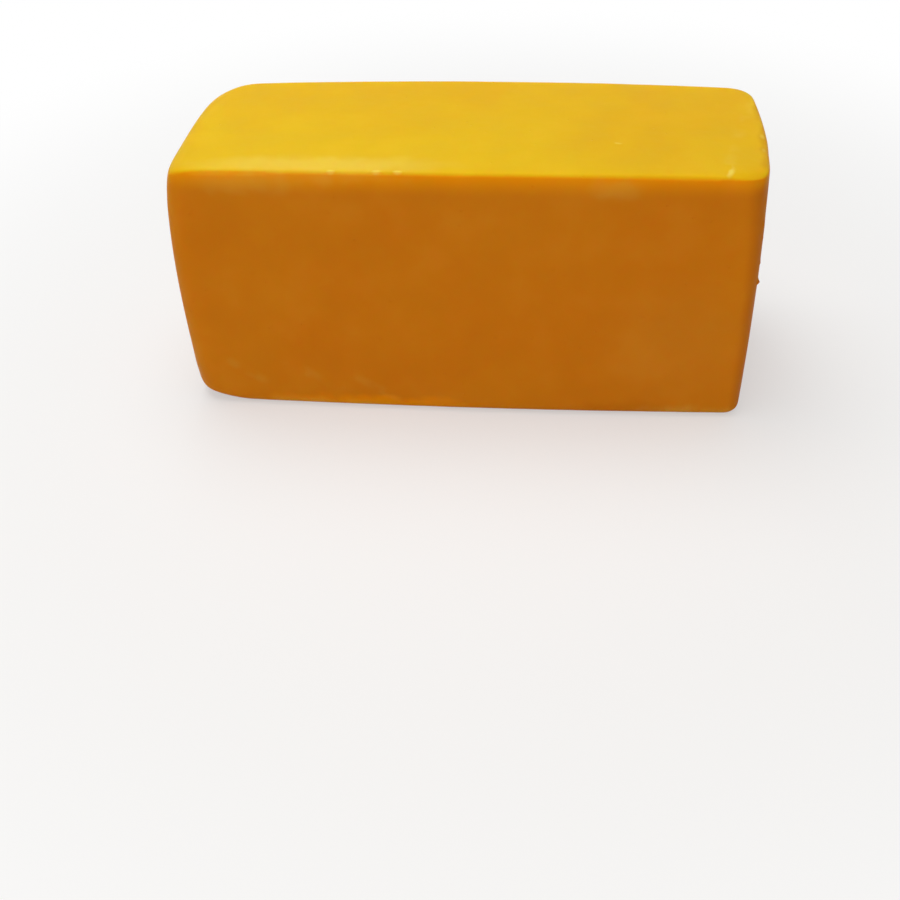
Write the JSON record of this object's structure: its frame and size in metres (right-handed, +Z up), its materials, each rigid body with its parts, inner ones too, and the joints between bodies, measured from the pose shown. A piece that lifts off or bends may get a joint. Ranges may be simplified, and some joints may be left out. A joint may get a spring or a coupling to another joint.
{
  "type": "prato cheese block",
  "caption": "Whole uncut block of semi-hard yellow-orange cheese: a long loaf with soft bulging faces and rounded corners, standing on its narrow side.",
  "frame": {"origin": "middle of the bottom of the block's bounding box, on the surface that it stands on", "axes": "+X along the block's length, to its right end; +Y from its front face to its back face; +Z up"},
  "size_m": [0.2682, 0.1014, 0.1283],
  "materials": {
    "cheese": "smooth, waxy, softly glossy"
  },
  "bodies": {
    "root": {"cheese_block": "cheese"}
  },
  "joints": []
}
